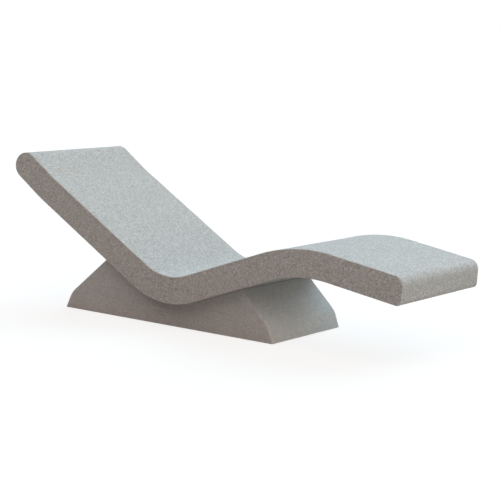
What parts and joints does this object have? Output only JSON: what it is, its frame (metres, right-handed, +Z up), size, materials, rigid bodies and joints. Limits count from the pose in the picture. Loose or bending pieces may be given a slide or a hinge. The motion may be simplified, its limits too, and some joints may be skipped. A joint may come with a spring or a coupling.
{
  "type": "spa relaxation lounger",
  "caption": "Wave-shaped spa relaxation lounger: a heated reclining slab with a stone-grained mineral coat, bedded in the saddle of a low tapered plinth.",
  "frame": {"origin": "on the floor, in the middle of the overall length and width", "axes": "+X along the length from the head to the foot end, +Y across towards the lying person's left, +Z up"},
  "size_m": [1.8728, 0.68, 0.6442],
  "materials": {
    "slab_coat": "matt mineral coat with coarse stone grain",
    "plinth_coat": "matt mineral coat with fine grain",
    "foam": "cut rigid foam",
    "beech": "planed",
    "heating_mat": "cable on glass-fibre net",
    "sensor_steel": "drawn",
    "lead_sheath": "smooth sheath",
    "conduit_plastic": "extruded",
    "zinc_steel": "zinc plated",
    "bed_mortar": "flexible mortar",
    "cement_board": "fibre cement",
    "pad_rubber": "non-slip",
    "box_plastic": "moulded",
    "strip_plastic": "moulded",
    "gland_plastic": "moulded"
  },
  "bodies": {
    "root": {"back_core": "foam", "seat_core_upper": "foam", "seat_core_lower": "foam", "leg_core": "foam", "core_dowels": "beech", "top_skin": "slab_coat", "underside_skin": "slab_coat", "left_side_skin": "slab_coat", "right_side_skin": "slab_coat", "back_heating_mat": "heating_mat", "leg_heating_mat": "heating_mat", "temperature_sensor": "sensor_steel", "mat_leads": "lead_sheath", "sensor_lead": "lead_sheath", "lead_conduit": "conduit_plastic", "bearing_rails": "zinc_steel", "rail_nuts": "zinc_steel", "tie_rods": "zinc_steel", "rod_washers": "zinc_steel", "rod_nuts": "zinc_steel", "saddle_bed": "bed_mortar", "plinth_head_block": "foam", "plinth_middle_block": "foam", "plinth_foot_block": "foam", "plinth_left_skin": "plinth_coat", "plinth_right_skin": "plinth_coat", "plinth_head_end_skin": "plinth_coat", "plinth_foot_end_skin": "plinth_coat", "floor_board": "cement_board", "floor_pads": "pad_rubber", "terminal_box": "box_plastic", "terminal_box_lid": "box_plastic", "terminal_strip": "strip_plastic", "cable_gland": "gland_plastic", "gland_locknut": "gland_plastic"}
  },
  "joints": []
}
